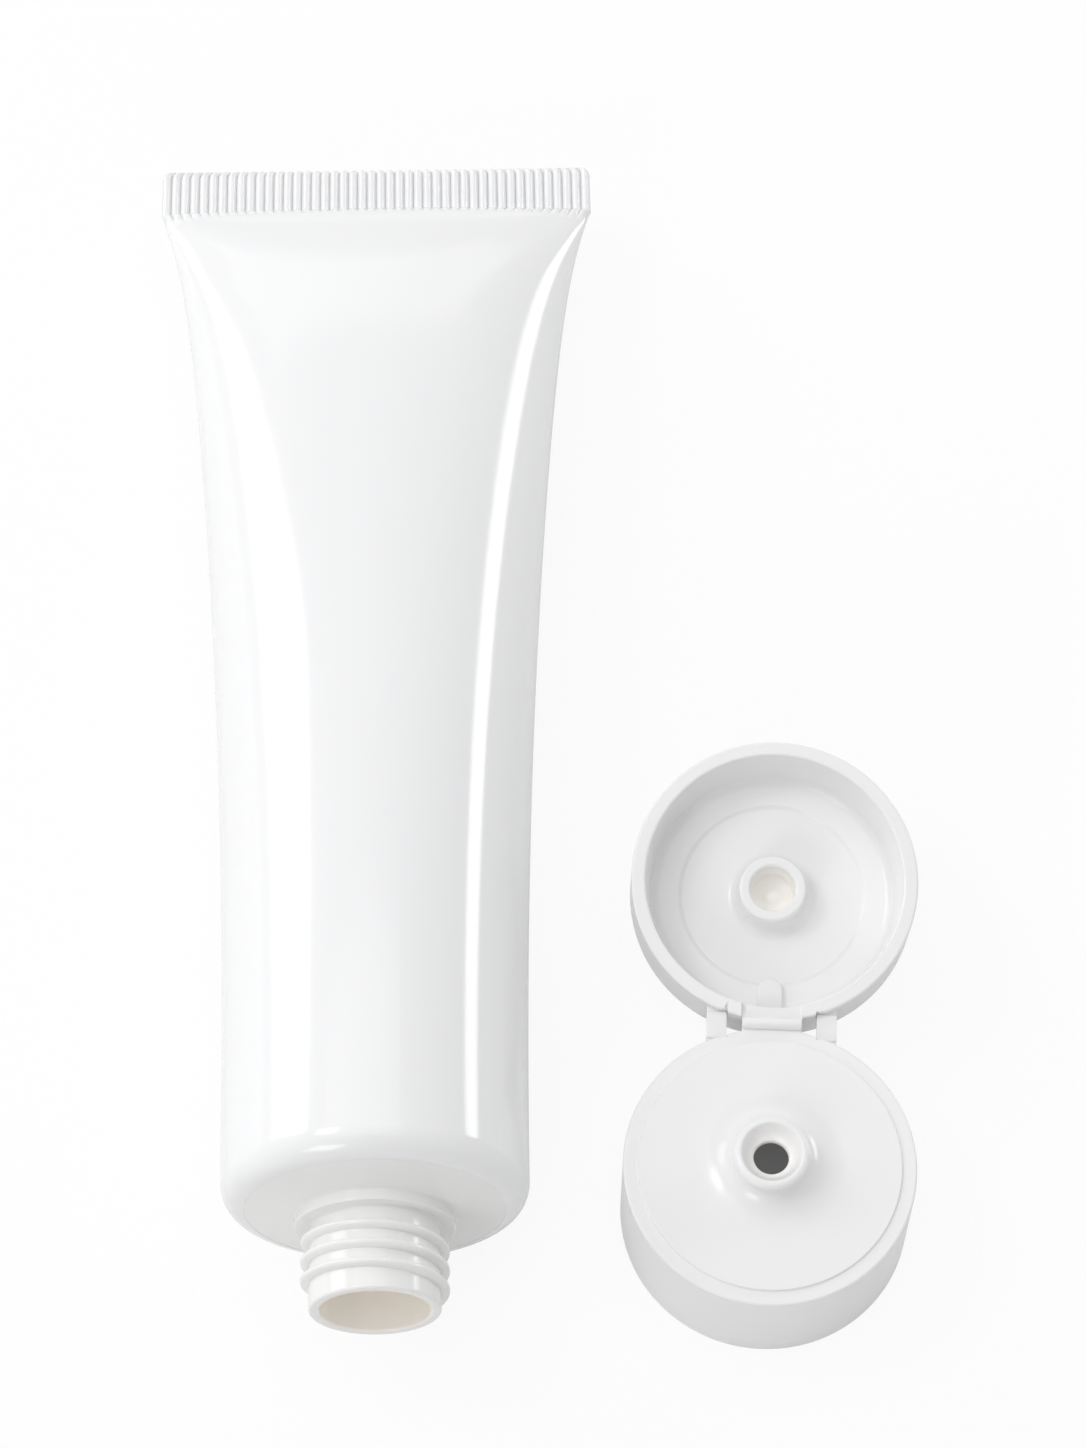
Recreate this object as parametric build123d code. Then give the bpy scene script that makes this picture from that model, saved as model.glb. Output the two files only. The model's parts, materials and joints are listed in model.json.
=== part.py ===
from build123d import *
import math
import os

# An empty squeeze tube for cream, lying on its side, with its flip-top cap taken off and
# standing open beside it. Millimetres, +Z up. The tube's axis runs along Y, its crimped end
# at +Y and its neck at -Y. The origin is under the middle of the whole, on the surface that
# both lie on.

# tube sleeve
tube_radius = 20.0
sleeve_wall = 0.5
sleeve_length = 152.8
# The sleeve widens from its round end to the crimp, slowly at first and fast at the end.
slow_flare_share = 0.78
slow_flare_power = 2
fast_flare_power = 15
station_count = 100
station_shares = [0, 0.08, 0.16, 0.26, 0.36, 0.46, 0.56, 0.66, 0.75, 0.83, 0.89, 0.93, 0.96, 0.98]
edge_depth = 3.1
edge_rise = 3.6
edge_return = 0.5
rest_share = 0.6

# crimp
crimp_length = 7.6
crimp_corner = 1.0
rib_count = 46
rib_height = 0.2
pinch_thickness = 0.48
pinch_solid = 1.6
pinch_slit = 0.25

# tube head
head_gap = 0.03
head_wall = 1.3
head_skirt = 2.0
shoulder_rise = 1.05
neck_radius = 8.5
neck_length = 11.2
neck_wall = 1.35
flange_reach = 1.9
flange_thickness = 1.6
flange_round = 0.3
mouth_round = 0.35
thread_height = 1.1

# cap, shared by its base and its lid
cap_radius = 19.2
rim_width = 1.85
lid_gap = 0.2
edge_round = 0.25
cap_turn = -3.0
cap_across = 51.4
cap_along = 2.9

# cap base
base_height = 18.3
skirt_wall = 1.5
deck_recess = 0.4
deck_thickness = 1.4
nozzle_height = 4.6
lip_radius = 5.0
lip_drop = 0.85
lip_bow_share = 0.3
crest_radius = 4.15
crater_radius = 3.8
crater_lead = 0.1
crater_depth = 2.1
orifice_radius = 2.3
orifice_length = 0.9
flare_radius = 10.4
flare_foot = 6.4
nozzle_core_radius = 5.8
nozzle_core_tip = 3.6
nozzle_core_taper = 0.5
socket_clearance = 0.2
socket_wall = 1.2
seal_radius = 6.7
shoulder_clearance = 0.15
flange_clearance = 0.15
stiffener_count = 8
stiffener_thickness = 1.0
stiffener_depth = 8.0

# cap lid
lid_depth = 9.0
lid_top = 1.3
lid_top_round = 1.2
lid_taper = 1.0
lid_corner = 1.4
floor_ring_inset = 4.15
floor_ring_step = 0.3
stopper_radius = 4.55
stopper_bore_radius = 3.05
stopper_round = 0.4
stopper_gap = 0.1
collar_radius = 6.5
collar_height = 2.2
button_radius = 1.3
button_height = 0.5
tongue_width = 3.4
tongue_length = 4.7
tongue_height = 1.0

# hinge: a bead on the base that the lid's lip rides on, and a snap strap each side of it
open_angle = 170.0
bead_radius = 0.75
bead_length = 7.9
bead_offset = 0.5
bead_gap = 0.1
bead_land = 1.1
lip_thickness = 0.4
lip_start = 64.0
lip_end = 128.0
notch_side_gap = 0.1
strap_spread = 14.6
strap_width = 2.65
strap_thickness = 0.7
strap_inset = 1.45
strap_gap = 0.1
ear_drop = 1.1
overrun = 3.0

# worked out from the sizes above
girth = 2 * math.pi * tube_radius
flat_width = girth / 2
sheet_thickness = 2 * sleeve_wall
hinge_back = cap_radius + bead_offset
hinge_up = base_height + lid_gap / 2
rim_inner = cap_radius - rim_width
lid_floor_radius = rim_inner - lid_taper
floor_ring_radius = lid_floor_radius - floor_ring_inset
nozzle_crest = base_height + nozzle_height
flange_radius = neck_radius + flange_reach
bore_radius = neck_radius - neck_wall
deck_level = base_height - deck_recess
deck_under = deck_level - deck_thickness
foot_along = edge_rise - edge_return - shoulder_clearance
seal_level = edge_rise + shoulder_rise + flange_thickness + neck_length - foot_along
socket_radius = neck_radius + thread_height + socket_clearance
socket_mouth = edge_rise + shoulder_rise + flange_thickness + flange_clearance - foot_along
# The strap is as long in the shut lid as in the open one when its two ends lie this far
# above and below the hinge line.
strap_rise = strap_inset * math.tan(math.radians((360 - open_angle) / 4))
strap_back = hinge_back - strap_inset
strap_up = hinge_up - strap_rise


def ellipse_girth(half_width, half_thickness):
    """Ramanujan's formula for the length of an ellipse."""
    total = half_width + half_thickness
    h = ((half_width - half_thickness) / total) ** 2
    return math.pi * total * (1 + 3 * h / (10 + math.sqrt(4 - 3 * h)))


def thickness_of(half_width):
    """Half the thickness that gives a section of this half width the sleeve's girth."""
    low = 0.0
    high = tube_radius
    for _ in range(60):
        middle = (low + high) / 2
        if ellipse_girth(half_width, middle) < girth:
            low = middle
        else:
            high = middle
    return (low + high) / 2


def half_width_at(share):
    """Half the sleeve's width at a share of its length from the shoulder."""
    slow = slow_flare_share * share**slow_flare_power
    fast = (1 - slow_flare_share) * share**fast_flare_power
    return tube_radius + (flat_width / 2 - tube_radius) * (slow + fast)


# The tube lies on its belly, tipped by as much as its thickness falls off there.
rest_fall = tube_radius - thickness_of(half_width_at(rest_share))
rest_tilt = math.degrees(math.atan(rest_fall / (rest_share * sleeve_length)))


def underside_depth(share):
    """How far the tipped sleeve's underside lies below the shoulder's middle."""
    thickness = thickness_of(half_width_at(share))
    lean = math.radians(rest_tilt)
    return share * sleeve_length * math.sin(lean) + thickness * math.cos(lean)


def section(along, half_width, half_thickness):
    plane = Plane(origin=(0, along, 0), x_dir=(1, 0, 0), z_dir=(0, 1, 0))
    return plane * Ellipse(half_width, half_thickness)


def turned(outline):
    """A solid turned about the tube's axis from an outline of (radius, way to the mouth)."""
    solid = revolve(Plane.XZ * outline, Axis.Z)
    return solid.rotate(Axis.X, 90)


def edge_outline(inset):
    """Quarter ellipse of the sleeve's rounded edge, moved in by a wall."""
    centre = (tube_radius - edge_depth, 0)
    return EllipticalCenterArc(centre, edge_depth - inset, edge_rise - inset, 0, arc_size=90)


def rounded_edge():
    outer = edge_outline(0)
    inner = edge_outline(sleeve_wall)
    lines = [
        outer,
        Line(outer @ 1, inner @ 1),
        inner,
        Line(inner @ 0, outer @ 0),
    ]
    return turned(make_face(Wire(lines)))


def crimp_band():
    """Two walls pressed into one corrugated sheet, its ribs along the tube's axis."""
    half_rib = flat_width / rib_count / 2
    left = -flat_width / 2

    def wave(level):
        points = []
        for i in range(2 * rib_count + 1):
            swing = rib_height if i % 2 == 0 else -rib_height
            points.append((left + i * half_rib, level + swing))
        return points

    top = wave(sheet_thickness / 2)
    bottom = wave(-sheet_thickness / 2)
    outline = make_face(Polyline(*top, *reversed(bottom), close=True))
    plane = Plane(origin=(0, sleeve_length, 0), x_dir=(1, 0, 0), z_dir=(0, -1, 0))
    band = extrude(plane * outline, -crimp_length)
    plate = Pos(0, sleeve_length, 0) * Rectangle(flat_width, 2 * crimp_length)
    plate = fillet(plate.vertices(), crimp_corner)
    trim = extrude(plate, sheet_thickness, both=True)
    return band & trim


def tube_sleeve():
    """Outer and inner skins lofted through sections of equal girth, then edge and crimp."""
    outer = []
    inner = []
    for share in station_shares:
        along = share * sleeve_length
        width = half_width_at(share)
        thickness = thickness_of(width)
        outer.append(section(along, width, thickness))
        inner.append(section(along, width - sleeve_wall, thickness - sleeve_wall))
    slit_end = sleeve_length - pinch_solid
    outer.append(section(sleeve_length, flat_width / 2, pinch_thickness / 2))
    inner.append(section(slit_end, flat_width / 2 - sheet_thickness, pinch_slit))
    return loft(outer) - loft(inner) + rounded_edge() + crimp_band()


def tube_head():
    """Shoulder, flange and neck, turned about the axis; up in the outline is to the mouth."""
    seat = edge_outline(sleeve_wall + head_gap)
    seam_radius = tube_radius - edge_depth
    cone_foot = edge_rise
    flange_foot = cone_foot + shoulder_rise
    flange_top = flange_foot + flange_thickness
    mouth = flange_top + neck_length
    inner_skirt = (seat @ 0).X - head_wall
    neck_root = flange_foot - head_wall
    rim = seam_radius - head_gap
    outline = Polyline(
        seat @ 1,
        (rim, (seat @ 1).Y),
        (rim, cone_foot),
        (flange_radius, flange_foot),
        (flange_radius, flange_top),
        (neck_radius, flange_top),
        (neck_radius, mouth),
        (bore_radius, mouth),
        (bore_radius, neck_root),
        (rim - head_wall, cone_foot - head_wall),
        (inner_skirt, 0),
        (inner_skirt, -head_skirt),
        ((seat @ 0).X, -head_skirt),
        seat @ 0,
    )
    face = make_face(Wire([seat, *outline.edges()]))
    flange_corners = face.vertices().filter_by(
        lambda v: abs(v.X - flange_radius) < head_gap and v.Y > flange_foot - head_gap
    )
    face = fillet(flange_corners, flange_round)
    mouth_corners = face.vertices().filter_by(lambda v: v.Y > mouth - head_gap)
    face = fillet(mouth_corners, mouth_round)
    return turned(face)


def hinge_block(width, back_low, back_high, up_low, up_high, across=0):
    """A box about the hinge: its width along X, then its span backwards and upwards."""
    centre = (across, (back_low + back_high) / 2, (up_low + up_high) / 2)
    return Pos(*centre) * Box(width, back_high - back_low, up_high - up_low)


def hinge_rod(radius, length, across, back, up):
    return Pos(across, back, up) * Rot(0, 90, 0) * Cylinder(radius, length)


def strap_places():
    return [-strap_spread / 2, strap_spread / 2]


def strap_pocket(across):
    """Room in a wall for one strap: a slot for the blade and a groove for its end."""
    width = strap_width + 2 * strap_gap
    half = strap_thickness / 2 + strap_gap
    top = hinge_up + overrun
    slot = hinge_block(width, strap_back - half, cap_radius + overrun, strap_up, top, across)
    return slot + hinge_rod(half, width, across, strap_back, strap_up)


def strap_ear(across):
    """The bit of wall that stands out under the strap's end and carries it."""
    inside = cap_radius - overrun
    return hinge_block(strap_width, inside, strap_back, strap_up - ear_drop, strap_up, across)


def with_strap_seats(shell):
    for across in strap_places():
        shell = shell + strap_ear(across) - strap_pocket(across)
    return shell


def base_outline():
    """Half section of the cap's base: radius across, height up."""
    lip = (lip_radius, nozzle_crest - lip_drop)
    crater = (crater_radius, nozzle_crest - crater_lead)
    throat = nozzle_crest - crater_depth
    bow = lip_radius - (lip_radius - crest_radius) * lip_bow_share
    throat_end = throat - orifice_length
    core_end = throat_end - nozzle_core_taper
    flare = Bezier((flare_radius, deck_level), (flare_foot, deck_level), lip)
    lip_outside = ThreePointArc(
        lip, (bow, nozzle_crest - lip_drop * lip_bow_share), (crest_radius, nozzle_crest)
    )
    lip_inside = Line((crest_radius, nozzle_crest), crater)
    funnel = Bezier(crater, (crater_radius, throat), (orifice_radius, throat))
    rest = Polyline(
        (orifice_radius, throat),
        (orifice_radius, throat_end),
        (nozzle_core_tip, core_end),
        (nozzle_core_radius, deck_under),
        (seal_radius, deck_under),
        (seal_radius, seal_level),
        (socket_radius, seal_level),
        (socket_radius, socket_mouth),
        (socket_radius + socket_wall, socket_mouth),
        (socket_radius + socket_wall, deck_under),
        (cap_radius - skirt_wall, deck_under),
        (cap_radius - skirt_wall, 0),
        (cap_radius, 0),
        (cap_radius, base_height),
        (rim_inner, base_height),
        (rim_inner, deck_level),
        (flare_radius, deck_level),
    )
    face = make_face(Wire([flare, lip_outside, lip_inside, funnel, *rest.edges()]))
    outer_corners = face.vertices().filter_by(lambda v: v.X > rim_inner + head_gap)
    return fillet(outer_corners, edge_round)


def cap_base():
    base = revolve(Plane.XZ * base_outline(), Axis.Z)
    reach = cap_radius - skirt_wall - socket_radius
    for i in range(stiffener_count):
        rib = Pos(socket_radius + reach / 2, 0, deck_under - stiffener_depth / 2) * Box(
            reach, stiffener_thickness, stiffener_depth
        )
        base = base + rib.rotate(Axis.Z, (i + 0.5) * 360 / stiffener_count)
    bead = hinge_rod(bead_radius, bead_length, 0, hinge_back, hinge_up)
    land = hinge_block(
        bead_length, cap_radius - rim_width, cap_radius, base_height - bead_land, base_height
    )
    return with_strap_seats(base) + bead + land


def lid_outline():
    """Half section of the shut lid, with the stopper ring that closes on the nozzle's crest."""
    rim = base_height + lid_gap
    floor = rim + lid_depth
    ring_floor = floor - floor_ring_step
    top = floor + lid_top
    stopper_end = nozzle_crest + stopper_gap
    collar_foot = (stopper_radius, floor - collar_height)
    collar = Bezier(collar_foot, (stopper_radius, floor), (collar_radius, floor))
    ball = (button_radius**2 + button_height**2) / (2 * button_height)
    lean = math.asin(button_radius / ball) / 2
    button_middle = (
        ball * math.sin(lean),
        floor - button_height + ball * (1 - math.cos(lean)),
    )
    button = ThreePointArc((button_radius, floor), button_middle, (0, floor - button_height))
    lines = [
        button,
        Line((0, floor - button_height), (0, top)),
        Line((0, top), (cap_radius, top)),
        Line((cap_radius, top), (cap_radius, rim)),
        Line((cap_radius, rim), (rim_inner, rim)),
        Line((rim_inner, rim), (lid_floor_radius, ring_floor)),
        Line((lid_floor_radius, ring_floor), (floor_ring_radius, ring_floor)),
        Line((floor_ring_radius, ring_floor), (floor_ring_radius, floor)),
        Line((floor_ring_radius, floor), (collar_radius, floor)),
        collar,
        Line(collar_foot, (stopper_radius, stopper_end)),
        Line((stopper_radius, stopper_end), (stopper_bore_radius, stopper_end)),
        Line((stopper_bore_radius, stopper_end), (stopper_bore_radius, floor)),
        Line((stopper_bore_radius, floor), (button_radius, floor)),
    ]
    face = make_face(Wire(lines))

    def corner(radius, height):
        return face.vertices().sort_by_distance((radius, height, 0))[0]

    face = fillet(corner(cap_radius, top), lid_top_round)
    face = fillet([corner(cap_radius, rim), corner(rim_inner, rim)], edge_round)
    face = fillet(corner(lid_floor_radius, ring_floor), lid_corner)
    stopper_edges = [corner(stopper_radius, stopper_end), corner(stopper_bore_radius, stopper_end)]
    return fillet(stopper_edges, stopper_round)


def lid_tongue():
    """The raised tab on the lid's floor, round at one end, that runs to the hinge wall."""
    floor = base_height + lid_gap + lid_depth
    wall = cap_radius - rim_width / 2
    tip = lid_floor_radius - tongue_length
    start = tip + tongue_width / 2
    sketch = Pos(0, (start + wall) / 2) * Rectangle(tongue_width, wall - start)
    sketch = sketch + Pos(0, start) * Circle(tongue_width / 2)
    return Pos(0, 0, floor - floor_ring_step - tongue_height) * extrude(
        sketch, tongue_height + lid_top
    )


def hinge_lip():
    """The curved lip that hugs the bead from above and behind."""
    inner = bead_radius + bead_gap
    outer = inner + lip_thickness
    arc_in = CenterArc((0, 0), inner, lip_start, lip_end - lip_start)
    arc_out = CenterArc((0, 0), outer, lip_start, lip_end - lip_start)
    lines = [arc_in, Line(arc_in @ 1, arc_out @ 1), arc_out, Line(arc_out @ 0, arc_in @ 0)]
    plane = Plane(origin=(0, hinge_back, hinge_up), x_dir=(0, 1, 0), z_dir=(1, 0, 0))
    return extrude(plane * make_face(Wire(lines)), bead_length / 2, both=True)


def cap_lid_shut():
    lid = revolve(Plane.XZ * lid_outline(), Axis.Z) + lid_tongue()
    notch_width = bead_length + 2 * notch_side_gap
    notch_top = hinge_up + bead_radius + 2 * bead_gap
    inside = rim_inner - rim_width
    notch = hinge_block(notch_width, inside, cap_radius + overrun, hinge_up - overrun, notch_top)
    lid = lid - notch + hinge_lip()
    parting = Plane(origin=(0, 0, hinge_up), z_dir=(0, 0, 1))
    for across in strap_places():
        ear = mirror(strap_ear(across), about=parting)
        pocket = mirror(strap_pocket(across), about=parting)
        lid = lid + ear - pocket
    return lid


def hinge_strap_shut(across):
    """A blade with round ends, upright beside the shut hinge."""
    blade = Rectangle(strap_thickness, 2 * strap_rise)
    ends = Pos(0, strap_rise) * Circle(strap_thickness / 2)
    ends = ends + Pos(0, -strap_rise) * Circle(strap_thickness / 2)
    plane = Plane(origin=(across, strap_back, hinge_up), x_dir=(0, 1, 0), z_dir=(1, 0, 0))
    return extrude(plane * (blade + ends), strap_width / 2, both=True)


# The tube lies with its belly on the surface, and the cap stands beside it, turned a little,
# as it was put down.
belly = max(underside_depth(i / station_count) for i in range(station_count))
tube_place = Pos(0, 0, belly) * Rot(-rest_tilt, 0, 0)
cap_place = Pos(cap_across, cap_along, 0) * Rot(0, 0, cap_turn)

lid_axis = Axis((0, hinge_back, hinge_up), (1, 0, 0))
strap_axis = Axis((0, strap_back, strap_up), (1, 0, 0))
left_across, right_across = strap_places()

nodes = {
    "tube_sleeve": tube_place * tube_sleeve(),
    "tube_head": tube_place * tube_head(),
    "cap_base": cap_place * cap_base(),
    "cap_lid": cap_place * cap_lid_shut().rotate(lid_axis, -open_angle),
    "hinge_strap_left": cap_place
    * hinge_strap_shut(left_across).rotate(strap_axis, -open_angle / 2),
    "hinge_strap_right": cap_place
    * hinge_strap_shut(right_across).rotate(strap_axis, -open_angle / 2),
}

whole = Compound(list(nodes.values())).bounding_box()
middle = whole.center()
home = Pos(-middle.X, -middle.Y, 0)

os.makedirs("parts", exist_ok=True)
for name, solid in nodes.items():
    export_step(home * solid, f"parts/{name}.step")


def placed(point, place):
    """A point of the tube or the cap, in the finished frame."""
    return tuple(round(value, 4) for value in (home * place * Pos(*point)).position)


mouth_along = edge_rise + shoulder_rise + flange_thickness + neck_length
print("size", whole.size)
print("tilt", round(rest_tilt, 4), "turn", cap_turn)
print("shoulder centre", placed((0, 0, 0), tube_place))
print("flange face", placed((0, neck_length - mouth_along, 0), tube_place))
print("mouth", placed((0, -mouth_along, 0), tube_place))
print("cap foot", placed((0, 0, 0), cap_place))
print("cap deck", placed((0, 0, deck_level), cap_place))
print("lid hinge", placed((0, hinge_back, hinge_up), cap_place))
print("strap pivot", placed((0, strap_back, strap_up), cap_place))
print("seal level", round(seal_level, 3), "socket mouth", round(socket_mouth, 3))
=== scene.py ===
import json
import math
import bpy
import numpy as np
from mathutils import Matrix, Vector


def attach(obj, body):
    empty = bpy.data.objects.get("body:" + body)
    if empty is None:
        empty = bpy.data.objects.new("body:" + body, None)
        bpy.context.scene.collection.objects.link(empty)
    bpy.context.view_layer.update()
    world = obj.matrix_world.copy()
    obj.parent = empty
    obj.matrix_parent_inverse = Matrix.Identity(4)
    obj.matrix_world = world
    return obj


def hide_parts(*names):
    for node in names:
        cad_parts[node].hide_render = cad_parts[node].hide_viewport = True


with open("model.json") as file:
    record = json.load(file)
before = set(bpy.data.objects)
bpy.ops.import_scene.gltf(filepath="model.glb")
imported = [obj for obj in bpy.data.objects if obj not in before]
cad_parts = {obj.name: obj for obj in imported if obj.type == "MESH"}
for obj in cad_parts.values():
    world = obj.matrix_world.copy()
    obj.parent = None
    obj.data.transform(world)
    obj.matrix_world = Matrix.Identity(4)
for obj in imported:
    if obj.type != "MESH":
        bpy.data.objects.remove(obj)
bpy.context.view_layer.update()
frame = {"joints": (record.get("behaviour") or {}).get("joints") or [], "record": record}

mm = 0.001  # the pieces' sizes are in millimetres, the studio's and the camera's in metres
tau = 2 * math.pi
quarterTurn = math.pi / 2
record = frame["record"]


# the frames that the pieces are built in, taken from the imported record

def unit(vector):
    vector = np.array(vector, dtype=float)
    return vector / np.linalg.norm(vector)


def mountNamed(name):
    return next(mount for mount in record["mounts"] if mount["name"] == name)


def jointNamed(name):
    return next(joint for joint in frame["joints"] if joint["name"] == name)


# Points given across, along and up in millimetres, put into the part's frame in metres.
def placed(points, origin, axes):
    return origin + (points * mm) @ axes


# The tube: along runs from the shoulder to the crimp, up is square to its flat crimp.
shoulderToNeck = 11.85  # from the shoulder plane to the middle of the neck
tubeAlong = -unit(mountNamed("neck")["axis"])
tubeAcross = np.array([1.0, 0.0, 0.0])
tubeUp = np.cross(tubeAcross, tubeAlong)
tubeAxes = np.array([tubeAcross, tubeAlong, tubeUp])
tubeOrigin = np.array(mountNamed("neck")["pos_m"]) + tubeAlong * shoulderToNeck * mm

# The cap: along runs from its middle to the hinge, up from its foot.
capAcross = unit(jointNamed("lid_hinge")["axis"])
capUp = np.array([0.0, 0.0, 1.0])
capAlong = np.cross(capUp, capAcross)
capAxes = np.array([capAcross, capAlong, capUp])
capOrigin = np.array(mountNamed("cap_socket")["pos_m"]) * [1, 1, 0]
hingeBack = float((np.array(jointNamed("lid_hinge")["pos_m"]) - capOrigin) @ capAlong) / mm
hingeUp = jointNamed("lid_hinge")["pos_m"][2] / mm
strapBack = float((np.array(jointNamed("strap_fold")["pos_m"]) - capOrigin) @ capAlong) / mm
strapUp = jointNamed("strap_fold")["pos_m"][2] / mm
openAngle = jointNamed("lid_hinge")["range_deg"][1]


# Points of the shut cap turned open about an axis across the cap, by an angle in degrees.
def opened(points, back, up, angle):
    c = math.cos(math.radians(-angle))
    s = math.sin(math.radians(-angle))
    along = points[..., 1] - back
    high = points[..., 2] - up
    out = np.array(points, dtype=float)
    out[..., 1] = back + c * along - s * high
    out[..., 2] = up + s * along + c * high
    return out


def inTube(points):
    return placed(points, tubeOrigin, tubeAxes)


def inCap(points):
    return placed(points, capOrigin, capAxes)


def inLid(points):
    return inCap(opened(points, hingeBack, hingeUp, openAngle))


def inStrap(points):
    return inCap(opened(points, strapBack, strapUp, openAngle / 2))


# mesh helpers

holdShare = 0.06  # past an arc's end, the extra point on the side: this share of the radius
holdLeast = 0.02  # and this much more
cutAngle = 2e-4  # the columns on each side of a cut stand this far from it
cutStep = 0.01  # and the rows this far


def addedObject(name, data):
    made = bpy.data.objects.new(name, data)
    bpy.context.scene.collection.objects.link(made)
    return made


# A mesh of quads from grids of points, one grid for each shell of the piece. Columns run round
# and rows along, and an end row is closed by a fan about its middle.
def gridMesh(name, grids, wrapRows=False, flip=False, closed=False, fields=None):
    verts, corners, totals = [], [], []
    first = 0
    for points in grids:
        rows, cols = points.shape[:2]
        r = np.arange(rows if wrapRows else rows - 1)
        r0, c0 = [a.ravel() for a in np.meshgrid(r, np.arange(cols), indexing="ij")]
        r1 = (r0 + 1) % rows
        c1 = (c0 + 1) % cols
        quads = np.stack([r0 * cols + c0, r0 * cols + c1, r1 * cols + c1, r1 * cols + c0], axis=1)
        tris = np.zeros((0, 3), dtype=int)
        verts.append(points.reshape(-1, 3))
        if closed:
            ring = np.arange(cols)
            after = (ring + 1) % cols
            middle = np.full(cols, rows * cols)
            last = (rows - 1) * cols
            tris = np.vstack([np.stack([after, ring, middle], axis=1),
                              np.stack([last + ring, last + after, middle + 1], axis=1)])
            verts.append(points[[0, -1]].mean(axis=1))
        if flip:
            quads = quads[:, ::-1]
            tris = tris[:, ::-1]
        corners += [quads.ravel() + first, tris.ravel() + first]
        totals += [np.full(len(quads), 4), np.full(len(tris), 3)]
        first = sum(len(v) for v in verts)
    verts = np.vstack(verts).astype(np.float32)
    corners = np.concatenate(corners).astype(np.int32)
    totals = np.concatenate(totals)
    starts = np.concatenate([[0], np.cumsum(totals)[:-1]]).astype(np.int32)
    mesh = bpy.data.meshes.new(name)
    mesh.vertices.add(len(verts))
    mesh.vertices.foreach_set("co", verts.ravel())
    mesh.loops.add(len(corners))
    mesh.loops.foreach_set("vertex_index", corners)
    mesh.polygons.add(len(totals))
    mesh.polygons.foreach_set("loop_start", starts)
    mesh.polygons.foreach_set("use_smooth", np.ones(len(totals), dtype=bool))
    for fieldName, values in (fields or {}).items():
        layer = mesh.attributes.new(fieldName, "FLOAT", "POINT")
        full = np.zeros(len(verts), dtype=np.float32)
        full[:values.size] = values.ravel()
        layer.data.foreach_set("value", full)
    mesh.update(calc_edges=True)
    mesh.validate()
    return addedObject(name, mesh)


def finished(piece, body, slot, material, *nodes):
    piece.data.materials.append(material)
    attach(piece, body)
    if nodes:
        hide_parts(*nodes)
    return piece


# An outline with its corners rounded: each is (x, y, radius), cut by an arc that meets both
# sides, with a point of the straight side kept close to each end of the arc.
def roundedOutline(corners, closed=True, steps=6):
    count = len(corners)
    points = []
    for i in range(count):
        x, y, radius = corners[i]
        here = np.array([x, y], dtype=float)
        if radius == 0 or (not closed and i in (0, count - 1)):
            points.append(here[None])
            continue
        before = np.array(corners[i - 1][:2], dtype=float)
        after = np.array(corners[(i + 1) % count][:2], dtype=float)
        a = (before - here) / np.linalg.norm(before - here)
        b = (after - here) / np.linalg.norm(after - here)
        half = math.acos(np.clip(a @ b, -1, 1)) / 2
        reach = radius / math.tan(half)
        middle = here + (a + b) / np.linalg.norm(a + b) * radius / math.sin(half)
        first = here + a * reach - middle
        last = here + b * reach - middle
        sweep = math.pi - 2 * half
        t = np.linspace(0, 1, steps + 1)[:, None]
        arc = (np.sin((1 - t) * sweep) * first + np.sin(t * sweep) * last) / math.sin(sweep)
        hold = holdShare * radius + holdLeast
        points.append((here + a * (reach + hold))[None])
        points.append(middle + arc)
        points.append((here + b * (reach + hold))[None])
    return np.vstack(points)


# Points on a Bezier curve: the control points weighted by the binomial law.
def bezier(controls, steps):
    t = np.linspace(0, 1, steps)[:, None]
    last = len(controls) - 1
    return sum(math.comb(last, i) * (1 - t) ** (last - i) * t ** i * np.array(point, dtype=float)
               for i, point in enumerate(controls))


# A surface of revolution: an outline (radius, up) carried round by the angles.
def turnedPoints(outline, angles):
    radius = outline[:, 0][:, None]
    up = outline[:, 1][:, None] + np.zeros_like(radius * angles)
    return np.stack([radius * np.cos(angles), radius * np.sin(angles), up], axis=2)


def evenAngles(count):
    return np.linspace(0, tau, count, endpoint=False)


# Even angles with a pair more at each cut, so that it is sharp. The cuts are given as angles away
# from the hinge, which lies a quarter turn round, and lie on both sides of it.
def anglesWith(count, cuts):
    edges = quarterTurn + np.outer([-1, 1], cuts).ravel()
    pairs = edges[:, None] + [-cutAngle, cutAngle]
    return np.sort(np.concatenate([evenAngles(count), pairs.ravel() % tau]))


# A block with rounded edges: each direction of a sphere times the radius, set out from the
# corner of the inner box that it points at. What lies between two corners is flat.
def roundedBlock(low, high, radius, steps=5):
    low, high = np.array(low, dtype=float), np.array(high, dtype=float)
    middle = (low + high) / 2
    inner = (high - low) / 2 - radius
    quarter = np.linspace(0, quarterTurn, steps)
    turn = np.concatenate([quarter + i * quarterTurn for i in range(4)])
    lift = np.concatenate([quarter - quarterTurn, quarter])[:, None]
    sideX = np.repeat([1, -1, -1, 1], steps) * inner[0]
    sideY = np.repeat([1, 1, -1, -1], steps) * inner[1]
    sideZ = np.repeat([-1, 1], steps)[:, None] * inner[2]
    x = sideX + radius * np.cos(lift) * np.cos(turn)
    y = sideY + radius * np.cos(lift) * np.sin(turn)
    z = sideZ + radius * np.sin(lift) + np.zeros_like(x)
    return np.stack([x, y, z], axis=2) + middle


# A bar: an outline (along, up) carried across, its ends drawn in by a quarter round.
def roundedBar(outline, halfWidth, bevel, steps=5):
    t = np.linspace(0, quarterTurn, steps)
    end = halfWidth - bevel + bevel * np.sin(t)
    across = np.concatenate([-end[::-1], end])
    inset = bevel * (1 - np.cos(t))
    inset = np.concatenate([inset[::-1], inset])
    middle = outline.mean(axis=0)
    away = outline - middle
    size = np.linalg.norm(away, axis=1, keepdims=True)
    rows = middle + away * (size - inset[:, None, None]) / size
    sides = across[:, None] + np.zeros(len(outline))
    return np.stack([sides, rows[..., 0], rows[..., 1]], axis=2)


# materials

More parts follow.
